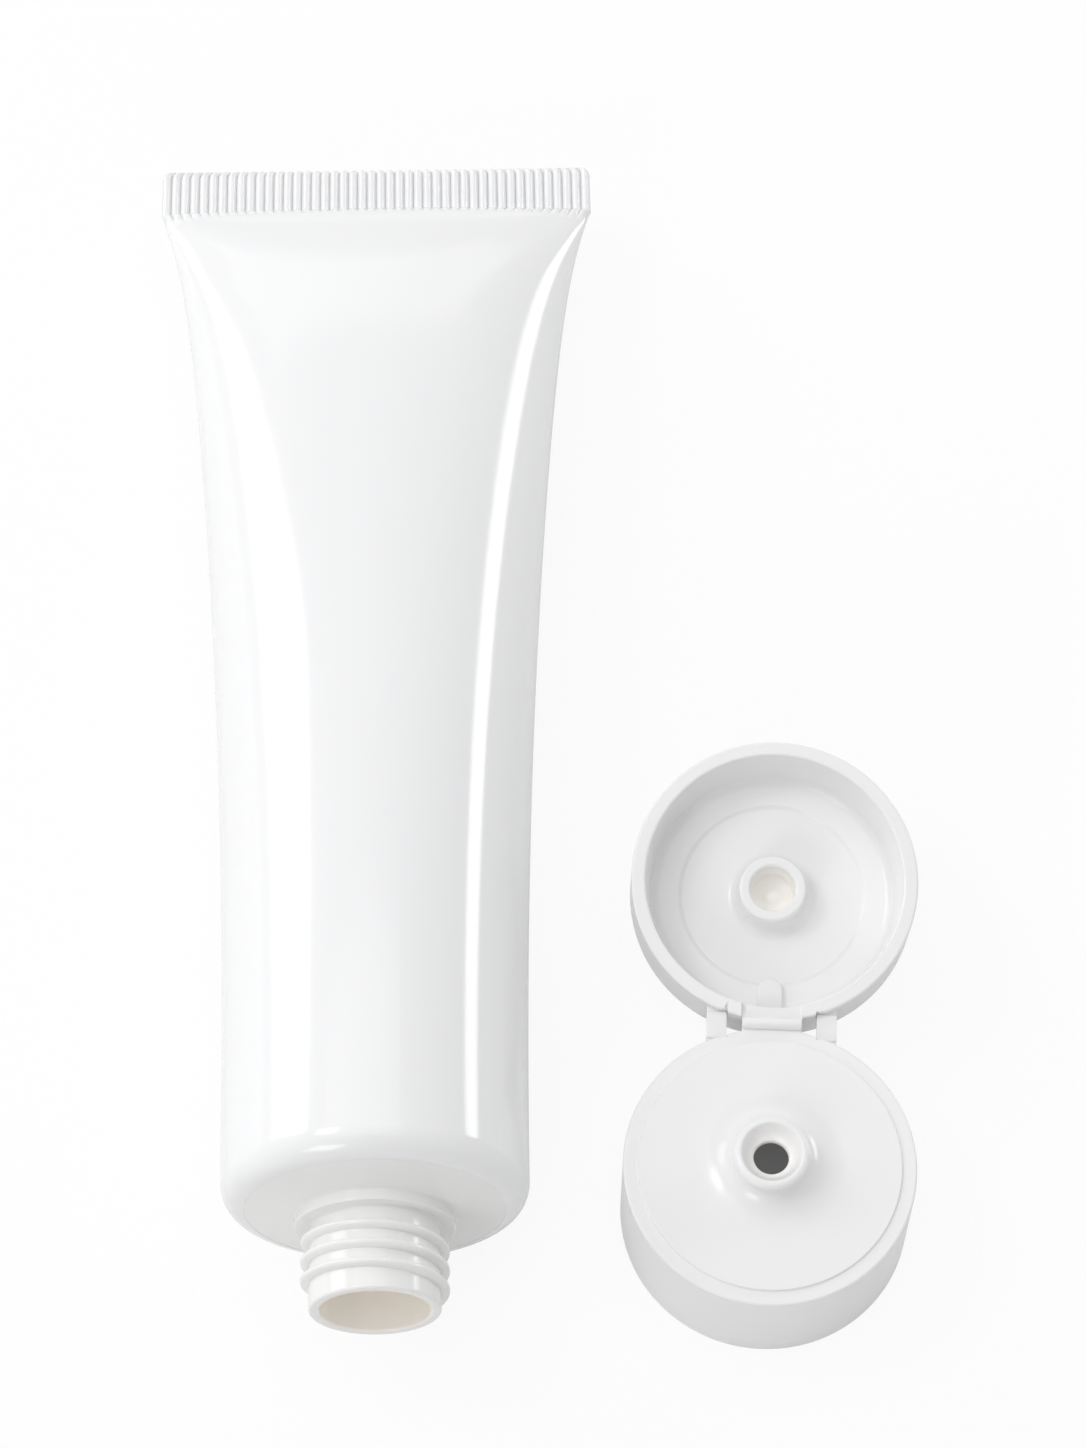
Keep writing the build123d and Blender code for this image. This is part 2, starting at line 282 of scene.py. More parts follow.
# A node with its own values set, then those of its inputs.
def nodeAt(tree, kind, inputs=None, **values):
    node = tree.nodes.new(kind)
    for key, value in values.items():
        setattr(node, key, value)
    for key, value in (inputs or {}).items():
        node.inputs[key].default_value = value
    return node


skin = {
    "grainScale": 2500.0,
    "grainDetail": 1,
    "rippleDetail": 2,
    "rippleShare": 0.5,
    "driftScale": 24,
    "driftDetail": 3,
    "roughDrift": 0.03,  # how far the gloss drifts to each side
    "glossIndex": 1.5,
}


# Moulded polyethylene: slow ripples of the skin, a fine grain and faint drifts of tone.
def mouldGrainGroup():
    group = bpy.data.node_groups.new("mouldGrain", "ShaderNodeTree")
    socket = group.interface.new_socket
    socket(name="Coordinates", in_out="INPUT", socket_type="NodeSocketVector")
    for name in ("Ripple Scale", "Grain Scale", "Ripple Share"):
        socket(name=name, in_out="INPUT", socket_type="NodeSocketFloat")
    socket(name="Height", in_out="OUTPUT", socket_type="NodeSocketFloat")
    socket(name="Tone", in_out="OUTPUT", socket_type="NodeSocketFloat")
    start = group.nodes.new("NodeGroupInput")
    end = group.nodes.new("NodeGroupOutput")
    ripple = nodeAt(group, "ShaderNodeTexNoise", {"Detail": skin["rippleDetail"]})
    grain = nodeAt(group, "ShaderNodeTexNoise", {"Detail": skin["grainDetail"]})
    drift = nodeAt(group, "ShaderNodeTexNoise",
                   {"Scale": skin["driftScale"], "Detail": skin["driftDetail"]})
    mix = nodeAt(group, "ShaderNodeMix", data_type="FLOAT")
    link = group.links.new
    for noise in (ripple, grain, drift):
        link(start.outputs["Coordinates"], noise.inputs["Vector"])
    link(start.outputs["Ripple Scale"], ripple.inputs["Scale"])
    link(start.outputs["Grain Scale"], grain.inputs["Scale"])
    link(start.outputs["Ripple Share"], mix.inputs["Factor"])
    link(grain.outputs["Fac"], mix.inputs["A"])
    link(ripple.outputs["Fac"], mix.inputs["B"])
    link(mix.outputs["Result"], end.inputs["Height"])
    link(drift.outputs["Fac"], end.inputs["Tone"])
    return group


mouldGrain = mouldGrainGroup()

# relief is the grain's depth in metres, ripple the ripples' scale, through how brightly the painted
# glow shines: creamy emission that stands for light coming through the wall
finishes = {
    "sleeve": {
        "light": (0.93, 0.933, 0.94), "dark": (0.91, 0.913, 0.922),
        "roughness": 0.12, "relief": 1e-6, "ripple": 90, "through": 0.0,
        "paintedGlow": (0.93, 0.9, 0.86),
    },
    "head": {
        "light": (0.92, 0.918, 0.912), "dark": (0.895, 0.892, 0.885),
        "roughness": 0.15, "relief": 2e-6, "ripple": 140, "through": 0.17,
        "paintedGlow": (0.93, 0.87, 0.78),
    },
    "cap": {
        "light": (0.915, 0.915, 0.92), "dark": (0.895, 0.895, 0.901),
        "roughness": 0.19, "relief": 2e-6, "ripple": 160, "through": 0.09,
        "paintedGlow": (0.95, 0.93, 0.89),
    },
}


# White moulded plastic: two close tones, a grain in the gloss and in the skin, and, where the
# piece's field marks it, a painted glow: a creamy colour and emission standing for light through the
# wall.
def plasticMaterial(name, finish):
    material = bpy.data.materials.new(name)
    material.use_nodes = True
    tree = material.node_tree
    link = tree.links.new
    shader = tree.nodes["Principled BSDF"]
    place = nodeAt(tree, "ShaderNodeTexCoord")
    grain = nodeAt(tree, "ShaderNodeGroup",
                   {"Ripple Scale": finish["ripple"], "Grain Scale": skin["grainScale"],
                    "Ripple Share": skin["rippleShare"]}, node_tree=mouldGrain)
    link(place.outputs["Object"], grain.inputs["Coordinates"])
    tones = nodeAt(tree, "ShaderNodeMix",
                   {"A": (*finish["dark"], 1), "B": (*finish["light"], 1)}, data_type="RGBA")
    link(grain.outputs["Tone"], tones.inputs["Factor"])
    # painted glow: the field tints the colour creamy and, below, makes the wall emit, for light
    # through the wall
    field = nodeAt(tree, "ShaderNodeAttribute", attribute_name="paintedGlow")
    glowTint = nodeAt(tree, "ShaderNodeMix", {"B": (*finish["paintedGlow"], 1)}, data_type="RGBA")
    link(field.outputs["Fac"], glowTint.inputs["Factor"])
    link(tones.outputs["Result"], glowTint.inputs["A"])
    link(glowTint.outputs["Result"], shader.inputs["Base Color"])
    rough = nodeAt(tree, "ShaderNodeMapRange",
                   {"To Min": finish["roughness"] - skin["roughDrift"],
                    "To Max": finish["roughness"] + skin["roughDrift"]})
    link(grain.outputs["Tone"], rough.inputs["Value"])
    link(rough.outputs["Result"], shader.inputs["Roughness"])
    relief = nodeAt(tree, "ShaderNodeBump", {"Strength": 1.0, "Distance": finish["relief"]})
    link(grain.outputs["Height"], relief.inputs["Height"])
    link(relief.outputs["Normal"], shader.inputs["Normal"])
    shader.inputs["IOR"].default_value = skin["glossIndex"]
    through = nodeAt(tree, "ShaderNodeMix",
                     {"A": (0, 0, 0, 1), "B": (*finish["paintedGlow"], 1)}, data_type="RGBA")
    link(field.outputs["Fac"], through.inputs["Factor"])
    link(through.outputs["Result"], shader.inputs["Emission Color"])
    shader.inputs["Emission Strength"].default_value = finish["through"]
    return material


sleevePlastic = plasticMaterial("sleevePlastic", finishes["sleeve"])
headPlastic = plasticMaterial("headPlastic", finishes["head"])
capPlastic = plasticMaterial("capPlastic", finishes["cap"])
print("materials made")


# the sleeve

sleeve = {
    "radius": 20.0,
    "wall": 0.5,
    "length": 152.8,  # from the shoulder plane to the crimp
    "slowShare": 0.78,  # how much of the widening is the slow kind
    "slowPower": 2,
    "fastPower": 15,
    "edgeDepth": 3.1,  # the rounded edge at the shoulder, across and along
    "edgeRise": 3.6,
    "lipRound": 0.1,
    "pinch": 0.56,  # how thick the sleeve still is where the crimp takes it
    "insideLeast": 0.02,  # half the least thickness of the hollow
    "columns": 288,
    "rows": 170,
    "edgeRows": 26,
    "lipRows": 5,
    "insideSkip": 3,  # the inside has one row for so many outside
    "crowding": 1.6,  # how much closer the rows stand near the crimp
    "halvings": 50,
}
creases = {
    "lensHalf": 27.5,  # the flat lens that the jaws of the press leave under the crimp
    "lensEnds": 1.8,
    "lensMiddle": 7.0,
    "lensSlope": 0.045,
    "foldRight": (30.0, 31.0),  # start across and reach along of the two folds below it
    "foldLeft": (33.0, 48.0),
    "foldSlope": 0.05,
    "foldWidth": 7.0,
    "foldEnd": 26.0,  # how far below the crimp the folds run
    "foldFade": 13.0,  # over which they fade there
    "foldTop": 5.0,  # and over which they start
    "soft": 0.25,
    "cornerRoom": 4.0,  # no crease so near the sleeve's side
    "crimpRoom": 1.5,
    "deepestShare": 0.5,  # of the skin's height over the middle
}
crimp = {
    "length": 7.6,
    "ribs": 46,
    "thickness": 0.8,
    "ribHeight": 0.4,
    "ribPower": 0.65,  # below 1, so that the ribs are broad and the grooves narrow
    "corner": 1.0,
    "foot": 2.6,  # how far down the sleeve's skin the ribs fade out
    "footLift": 0.02,
    "footSink": 0.06,  # how deep the foot's first row lies in the skin
    "sinkReach": 0.4,
    "footShare": 0.995,  # the foot's width, as a share of the sleeve's
    "footRows": 14,
    "firstRows": (0.0, 0.06, 0.15, 0.3),
    "bandStart": 0.6,
    "bandRows": 8,
    "cornerGap": 0.1,
    "cornerRows": 9,
    "tip": 0.3,  # the rounding of the cut edge
    "side": 0.35,  # and of the two side edges
    "thinnest": 0.02,  # squared, what is left of the thickness at the very edge
    "samples": 12,  # points across one rib
}
girth = tau * sleeve["radius"]
flatWidth = girth / 2


# Half the sleeve's width: a slow square law and a fast one near the crimp, added.
def halfWidthAt(share):
    slow = sleeve["slowShare"] * share ** sleeve["slowPower"]
    fast = (1 - sleeve["slowShare"]) * share ** sleeve["fastPower"]
    return sleeve["radius"] + (flatWidth / 2 - sleeve["radius"]) * (slow + fast)


# Half the thickness of an ellipse of this half width with the sleeve's girth, by halving. The
# girth is pi times the sum of both halves times 1 + 3 h / (10 + root of (4 - 3 h)), where h is
# their difference over their sum, squared.
def halfThicknessFor(halfWidth):
    low = np.zeros_like(halfWidth)
    high = np.full_like(halfWidth, sleeve["radius"])
    for _ in range(sleeve["halvings"]):
        middle = (low + high) / 2
        total = halfWidth + middle
        h = ((halfWidth - middle) / total) ** 2
        length = math.pi * total * (1 + 3 * h / (10 + np.sqrt(4 - 3 * h)))
        low = np.where(length < girth, middle, low)
        high = np.where(length < girth, high, middle)
    return np.maximum((low + high) / 2, sleeve["pinch"] / 2)


# Rows of the sleeve's skin, moved in by inset: a small round at the lip, a quarter ellipse round
# the shoulder's edge, then ellipses of equal girth that flatten towards the crimp.
def sleeveSkin(inset):
    lip = sleeve["lipRound"] if inset == 0 else 0
    rim = sleeve["radius"] - sleeve["edgeDepth"]
    deep = sleeve["edgeDepth"] - inset
    rise = sleeve["edgeRise"] - inset
    turn = np.linspace(0, quarterTurn, sleeve["lipRows"])
    t = np.linspace(math.asin(lip / deep), quarterTurn, sleeve["edgeRows"], endpoint=False)
    edgeAcross = np.concatenate([rim + lip * (1 - np.cos(turn)), rim + deep * np.sin(t)[1:]])
    edgeAlong = np.concatenate([-rise + lip * (1 - np.sin(turn)), -rise * np.cos(t)[1:]])
    share = 1 - (1 - np.linspace(0, 1, sleeve["rows"])) ** sleeve["crowding"]
    width = halfWidthAt(share)
    thickness = halfThicknessFor(width)
    halfWide = np.concatenate([edgeAcross, width - inset])
    halfThick = np.concatenate([edgeAcross, np.maximum(thickness - inset, sleeve["insideLeast"])])
    along = np.concatenate([edgeAlong, share * sleeve["length"]])
    along = np.minimum(along, sleeve["length"] - 2 * inset)
    angle = evenAngles(sleeve["columns"])
    across = halfWide[:, None] * np.cos(angle)
    up = halfThick[:, None] * np.sin(angle)
    return np.stack([across, along[:, None] + np.zeros_like(across), up], axis=2)


# From 0 to 1 with level ends: three squares less two cubes.
def smoothStep(value):
    value = np.clip(value, 0, 1)
    return value * value * (3 - 2 * value)


# A fold: nothing on its near side, then a slope that starts within a soft width and dies away as
# a bell curve. The soft start is half the sum of the distance and the root of its square plus
# the softness squared.
def foldDepth(distance, slope, width):
    start = (distance + np.sqrt(distance ** 2 + creases["soft"] ** 2)) / 2
    return slope * start * np.exp(-(start / width) ** 2)


# The skin pressed in by the creases near the crimp: the lens, whose lower edge is a parabola
# across, then a fold towards each corner, whose line bends by the square of what is left to go.
def creased(points):
    c = creases
    across, along, up = points[..., 0], points[..., 1], points[..., 2]
    below = sleeve["length"] - along
    arch = np.clip(1 - (across / c["lensHalf"]) ** 2, 0, 1)
    lens = c["lensEnds"] + (c["lensMiddle"] - c["lensEnds"]) * arch
    depth = foldDepth(lens - below, -c["lensSlope"], c["lensMiddle"])
    for side, (start, reach) in ((1, c["foldRight"]), (-1, c["foldLeft"])):
        line = start * np.clip(1 - below / reach, 0, 1) ** 2
        fade = smoothStep((c["foldEnd"] - below) / c["foldFade"]) * smoothStep(below / c["foldTop"])
        depth = depth + foldDepth(side * across - line, c["foldSlope"], c["foldWidth"]) * fade
    span = np.abs(across).max(axis=1, keepdims=True)
    room = smoothStep((span - np.abs(across)) / c["cornerRoom"]) * smoothStep(below / c["crimpRoom"])
    out = points.copy()
    deepest = np.abs(up) * c["deepestShare"]
    out[..., 2] = up - np.sign(up) * np.minimum(depth * room, deepest)
    return out


# The sleeve's inside and outside as one grid that turns over at the lip.
def makeSleeve():
    outer = creased(sleeveSkin(0))
    inner = sleeveSkin(sleeve["wall"])[::sleeve["insideSkip"]]
    points = np.concatenate([inner[::-1], outer])
    piece = gridMesh("sleeveSkin", [inTube(points)], closed=True, flip=True)
    return finished(piece, "tube", "sleeve_film", sleevePlastic, "tube_sleeve")


# The crimped end: a sheet waved across by ribs, each half a sine to a power below 1, both faces
# in step. Below it the ribs run on for a little on the skin's own ellipses, lower and lower,
# until they sink in.
def makeCrimp():
    c = crimp
    half = flatWidth / 2
    share = np.linspace(-1, 1, c["ribs"] * c["samples"] + 1)
    wave = 2 * np.abs(np.sin((share + 1) / 2 * c["ribs"] * math.pi)) ** c["ribPower"] - 1
    foot = np.linspace(-c["foot"], 0, c["footRows"], endpoint=False)
    turn = np.linspace(0, quarterTurn, c["cornerRows"])
    band = np.concatenate([
        c["firstRows"],
        np.linspace(c["bandStart"], c["length"] - c["corner"] - c["cornerGap"], c["bandRows"]),
        c["length"] - c["corner"] * (1 - np.sin(turn)),
    ])
    footWide = halfWidthAt(1 + foot / sleeve["length"])
    footThick = halfThicknessFor(footWide)
    fade = smoothStep(1 + foot / c["foot"])[:, None] ** 2
    skinUp = footThick[:, None] * np.sqrt(1 - (c["footShare"] * share) ** 2)
    sunk = 1 - smoothStep((foot + c["foot"]) / c["sinkReach"])[:, None]
    level = skinUp + c["footLift"] - (c["footLift"] + c["footSink"]) * sunk
    # the lower face has its ribs where the upper one has grooves
    upperFoot = level + c["ribHeight"] * (1 + wave) * fade
    lowerFoot = -(level + c["ribHeight"] * (1 - wave) * fade)
    edge = np.clip((c["length"] - band) / c["corner"], 0, 1)
    narrowing = c["corner"] * (1 - np.sqrt(1 - (1 - edge) ** 2))
    tip = np.sqrt(np.clip((c["length"] - band) / c["tip"], c["thinnest"], 1))[:, None]
    side = np.sqrt(np.clip((1 - np.abs(share)) * half / c["side"], c["thinnest"], 1))
    thick = c["thickness"] / 2 * tip * side
    swing = c["ribHeight"] * wave * np.ones_like(tip)
    wide = np.concatenate([c["footShare"] * footWide, half - narrowing])
    across = wide[:, None] * share
    along = sleeve["length"] + np.concatenate([foot, band])[:, None] + np.zeros_like(across)
    upper = np.concatenate([upperFoot, swing + thick])
    lower = np.concatenate([lowerFoot, swing - thick])
    top = np.stack([across, along, upper], axis=2)
    bottom = np.stack([across, along, lower], axis=2)[::-1]
    # each ring runs up the top and back down the bottom, so that the cut edge is a strip of quads
    points = np.concatenate([top, bottom]).transpose(1, 0, 2)
    piece = gridMesh("crimpBand", [inTube(points)], closed=True, flip=True)
    return finished(piece, "tube", "sleeve_film", sleevePlastic)


makeSleeve()
makeCrimp()
print("sleeve made")


# the head, with its neck and thread

head = {
    "rim": 16.95,  # where the cone leaves the sleeve's edge
    "wall": 1.3,
    "coneFoot": 3.53,  # ways along from the shoulder plane towards the mouth
    "flangeFoot": 4.65,
    "flangeTop": 6.25,
    "mouth": 17.45,
    "flangeRadius": 10.4,
    "neckRadius": 8.5,
    "boreRadius": 7.15,
    "skirt": 2.0,
    "gap": 0.03,  # between the head and the sleeve
    "seamFront": 3.1,  # the rim's face against the sleeve's edge, from here to the cone's foot
    "seamBack": 2.9,
    "seamSlope": 0.1,
    "rimRound": 0.04,
    "edgeRound": 0.35,
    "flangeRound": 0.16,
    "rootRound": 0.3,
    "insideRound": 0.6,
    "coneRound": 0.8,
    "skirtRound": 0.3,
    "footRound": 0.4,
    "shoulderRound": 0.5,
    "glowDepth": 9.0,  # how deep in the bore the painted glow is strongest
    "glowLeast": 0.4,  # its share at the mouth
    "glowEdge": 0.25,
    "columns": 224,
}
neckScrew = {
    "pitch": 2.6,
    "height": 1.1,
    "halfRoot": 0.62,  # half the ridge's width at the neck
    "start": 7.52,  # way to the mouth where the ridge starts, underneath
    "turns": 3,
    "runOut": 0.09,  # share of a turn over which the ends fade
    "endShare": 0.35,  # how much of its width the ridge keeps there
    "sunk": 0.25,  # how deep its foot stands in the wall
    "flatPower": 2.4,  # the larger, the flatter the crest
    "flankPower": 0.62,  # the smaller, the steeper the flanks
    "across": 15,
    "perTurn": 150,
}


# Turned points (x, y, way to the mouth) set along the tube, the mouth at its near end.
def alongTube(radial):
    return np.stack([radial[..., 0], -radial[..., 2], radial[..., 1]], axis=-1)


# The head: a half section with rounded corners, turned. Down the bore a painted glow, for light
# through the wall, grows by the root of the depth.
def makeHead():
    h = head
    neckRoot = h["flangeFoot"] - h["wall"]
    inside = sleeve["radius"] - sleeve["wall"] - h["gap"]
    outline = roundedOutline([
        (h["rim"], h["seamFront"], 0),
        (h["rim"], h["coneFoot"], h["rimRound"]),
        (h["flangeRadius"], h["flangeFoot"], h["edgeRound"]),
        (h["flangeRadius"], h["flangeTop"], h["flangeRound"]),
        (h["neckRadius"], h["flangeTop"], h["rootRound"]),
        (h["neckRadius"], h["mouth"], h["edgeRound"]),
        (h["boreRadius"], h["mouth"], h["edgeRound"]),
        (h["boreRadius"], neckRoot, h["insideRound"]),
        (h["rim"] - h["wall"], h["coneFoot"] - h["wall"], h["coneRound"]),
        (inside - h["wall"], 0, h["footRound"]),
        (inside - h["wall"], -h["skirt"], h["skirtRound"]),
        (inside, -h["skirt"], h["skirtRound"]),
        (inside, 0, h["shoulderRound"]),
        (h["rim"] + h["seamSlope"], h["seamBack"], h["seamSlope"]),
    ])
    points = turnedPoints(outline, evenAngles(h["columns"]))
    depth = np.clip((h["mouth"] - outline[:, 1]) / h["glowDepth"], 0, 1)
    isInside = outline[:, 0] < h["boreRadius"] + h["glowEdge"]
    boreGlow = h["glowLeast"] + (1 - h["glowLeast"]) * np.sqrt(depth)
    paintedGlow = np.where(isInside, boreGlow, 0)[:, None] * np.ones(h["columns"])
    piece = gridMesh("headMoulding", [inTube(alongTube(points))], wrapRows=True,
                     fields={"paintedGlow": paintedGlow})
    return finished(piece, "tube", "head_plastic", headPlastic, "tube_head")


# A screw's ridge: a rounded bump carried along a right-handed helix, its foot sunk in the wall
# and its height faded at both ends. An inward ridge stands in a socket.
def screwPoints(screw, core, inward):
    turns = np.linspace(0, screw["turns"], int(screw["turns"] * screw["perTurn"]) + 1)[:, None]
    angle = -quarterTurn - turns * tau
    way = screw["start"] + turns * screw["pitch"]
    fade = np.clip(np.minimum(turns, screw["turns"] - turns) / screw["runOut"], 0, 1)
    fade = np.sin(fade * quarterTurn)
    w = np.linspace(-1, 1, screw["across"])
    bump = (1 - np.abs(w) ** screw["flatPower"]) ** screw["flankPower"] * screw["height"]
    foot = np.full((len(turns), 2), -screw["sunk"])
    rise = np.concatenate([bump * fade, foot], axis=1)
    spread = np.concatenate([w, [1.0, -1.0]]) * screw["halfRoot"]
    radius = core + rise * (-1 if inward else 1)
    wide = way + spread * (screw["endShare"] + (1 - screw["endShare"]) * fade)
    return np.stack([radius * np.cos(angle), radius * np.sin(angle), wide], axis=2)


def makeNeckScrew():
    radial = screwPoints(neckScrew, head["neckRadius"], False)
    piece = gridMesh("neckScrew", [inTube(alongTube(radial))], closed=True)
    return finished(piece, "tube", "head_plastic", headPlastic)


makeHead()
makeNeckScrew()
print("head made")


# the hinge's sizes, which the base and the lid share

hinge = {
    "beadRadius": 0.75,
    "beadColumns": 32,
    "beadLength": 7.9,
    "beadLand": 1.1,
    "beadGap": 0.1,
    "lipThickness": 0.4,
    "lipStart": 64,  # degrees about the bead, from backwards to upwards
    "lipEnd": 128,
    "lipColumns": 12,
    "lipBevel": 0.04,
    "beadBevel": 0.2,
    "landProud": 0.1,  # how far the bead's land stands out of the wall
    "landDrop": 0.02,  # and lies below the rim
    "notchGap": 0.1,
    "strapSpread": 14.6,
    "strapWidth": 2.65,
    "strapThickness": 0.7,
    "strapGap": 0.1,
    "earDrop": 1.1,
    "earReach": 3.0,  # how far in from the cap's outside the ears start
    "edge": 0.12,  # the rounding of its small edges
}
capRadius = 19.2
# each strap's pocket: its sides, as angles from the middle of the hinge, and its two ends
pocketHalf = hinge["strapWidth"] / 2 + hinge["strapGap"]
pocketSides = [hinge["strapSpread"] / 2 + side * pocketHalf for side in (-1, 1)]
pocketAngles = [math.asin(across / capRadius) for across in pocketSides]
pocketDepth = hinge["strapThickness"] / 2 + hinge["strapGap"]
pocketFoot = strapUp - pocketDepth
earTop = 2 * hingeUp - strapUp
pocketTop = earTop + pocketDepth
# the notch in the lid's rim that leaves room for the bead
notchHalf = hinge["beadLength"] / 2 + hinge["notchGap"]
notchAngle = math.asin(notchHalf / capRadius)


# A wall cut back to a flat behind each strap, at every point in the pocket's angles that isOpen.
def withStrapPockets(points, away, isOpen):
    inPocket = (away > pocketAngles[0]) & (away < pocketAngles[1])
    flat = np.minimum(points[..., 1], strapBack - pocketDepth)
    points[..., 1] = np.where(inPocket & isOpen & (points[..., 1] > 0), flat, points[..., 1])
    return points


def strapSides():
    return [side * hinge["strapSpread"] / 2 for side in (-1, 1)]


# A piece of the cap's plastic on a body of the cap, standing for the nodes named.
def capPiece(name, body, grids, *nodes, **how):
    return finished(gridMesh(name, grids, **how), body, "cap_plastic", capPlastic, *nodes)


# The bits of wall that stand out under the straps' ends, low and high in the shut cap.
def earBlocks(low, high):
    half = hinge["strapWidth"] / 2
    start = capRadius - hinge["earReach"]
    return [roundedBlock((across - half, start, low), (across + half, strapBack, high), hinge["edge"])
            for across in strapSides()]


# the cap's base

base = {
    "height": 18.05,
    "skirtWall": 1.5,
    "rimInner": 17.35,  # the strap pockets and the bead's land start here
    "ledgeInner": 17.3,  # the ledge that the lid shuts on, just below the deck
    "ledgeSlope": 0.1,
    "deck": 18.4,
    "deckUnder": 16.5,
    "crest": 22.9,
    "lipRadius": 5.0,
    "lipDrop": 0.85,  # from the crest down to the lip's widest ring
    "waist": 4.78,
    "crestRadius": 4.15,
    "craterRadius": 3.8,
    "throat": 20.8,
    "orificeRadius": 2.3,
    "orificeLength": 0.9,
    "coreTip": 3.6,
    "coreRadius": 5.8,
    "flareRadius": 10.4,
    "flareFoot": 7.4,  # how far in the flare stays flat
    "flareRise": 1.6,
    "flareLean": 0.1,
    "waistDrop": 0.55,  # and from there down to the waist
    "bulgeDrop": 0.3,
    "bulgeLean": 0.02,
    "bellyDrop": 0.25,
    "crestDrop": 0.1,
    "crestFlat": 0.3,
    "funnelLean": 0.5,
    "throatOut": 0.15,  # the funnel's end, beside and above the orifice
    "throatUp": 0.12,
    "throatDown": 0.05,
    "coreDrop": 0.5,
    "sealRadius": 6.7,
    "seal": 14.5,
    "socketRadius": 9.8,
    "socketWall": 1.2,
    "socketMouth": 3.45,
    "stiffeners": 8,
    "stiffenerThickness": 1.0,
    "stiffenerDepth": 8.0,
    "stiffenerSunk": 0.4,  # how deep it stands in the socket's wall and the deck
    "stiffenerShort": 0.6,  # how far its outer end is from the cap's outside
    "stiffenerRound": 0.2,
    "edgeRound": 0.3,
    "rootRound": 0.5,
    "coreRound": 0.2,
    "ledgeRound": 0.15,
    "orificeRound": 0.1,
    "glowDepth": 4.0,
    "columns": 288,
    "flareRows": 30,
    "bulgeRows": 8,
    "crestRows": 12,
    "funnelRows": 18,
}
socketScrew = {**neckScrew, "height": 0.9, "start": 5.87, "turns": 2.2}


# Half section of the base (radius, up): flare, lip and funnel are curves, the rest is rounded.
def baseOutline():
    b = base
    lip = b["crest"] - b["lipDrop"]
    waist = (b["waist"], lip - b["waistDrop"])
    funnelEnd = (b["orificeRadius"] + b["throatOut"], b["throat"] + b["throatUp"])
    flare = bezier([(b["flareRadius"], b["deck"]),
                    (b["flareFoot"], b["deck"]),
                    (b["waist"] - b["flareLean"], b["deck"] + b["flareRise"]),
                    waist], b["flareRows"])
    bulge = bezier([waist,
                    (b["waist"] + b["bulgeLean"], lip - b["bulgeDrop"]),
                    (b["lipRadius"], lip - b["bellyDrop"]),
                    (b["lipRadius"], lip)], b["bulgeRows"])[1:]
    crest = bezier([(b["lipRadius"], lip),
                    (b["lipRadius"], b["crest"] - b["crestDrop"]),
                    (b["crestRadius"] + b["crestFlat"], b["crest"]),
                    (b["crestRadius"], b["crest"])], b["crestRows"])[1:]
    funnel = bezier([(b["crestRadius"], b["crest"]),
                     (b["craterRadius"], b["crest"]),
                     (b["craterRadius"] - b["funnelLean"], b["throat"] + b["funnelLean"]),
                     funnelEnd], b["funnelRows"])[1:]
    throatEnd = b["throat"] - b["orificeLength"]
    inner = capRadius - b["skirtWall"]
    wallOut = b["socketRadius"] + b["socketWall"]
    rest = roundedOutline([
        (*funnelEnd, 0),
        (b["orificeRadius"], b["throat"] - b["throatDown"], 0),
        (b["orificeRadius"], throatEnd, b["orificeRound"]),
        (b["coreTip"], throatEnd - b["coreDrop"], b["coreRound"]),
        (b["coreRadius"], b["deckUnder"], b["edgeRound"]),
        (b["sealRadius"], b["deckUnder"], b["edgeRound"]),
        (b["sealRadius"], b["seal"], b["coreRound"]),
        (b["socketRadius"], b["seal"], b["edgeRound"]),
        (b["socketRadius"], b["socketMouth"], b["edgeRound"]),
        (wallOut, b["socketMouth"], b["edgeRound"]),
        (wallOut, b["deckUnder"], b["rootRound"]),
        (inner, b["deckUnder"], b["rootRound"]),
        (inner, 0, b["edgeRound"]),
        (capRadius, 0, b["edgeRound"]),
        (capRadius, pocketFoot - cutStep, 0),
        (capRadius, pocketFoot + cutStep, 0),
        (capRadius, b["height"], b["edgeRound"]),
        (b["ledgeInner"], b["height"], b["ledgeRound"]),
        (b["ledgeInner"] - b["ledgeSlope"], b["deck"], b["ledgeRound"]),
        (b["flareRadius"], b["deck"], 0),
    ], closed=False)[1:-1]
    return np.vstack([flare, bulge, crest, funnel, rest])


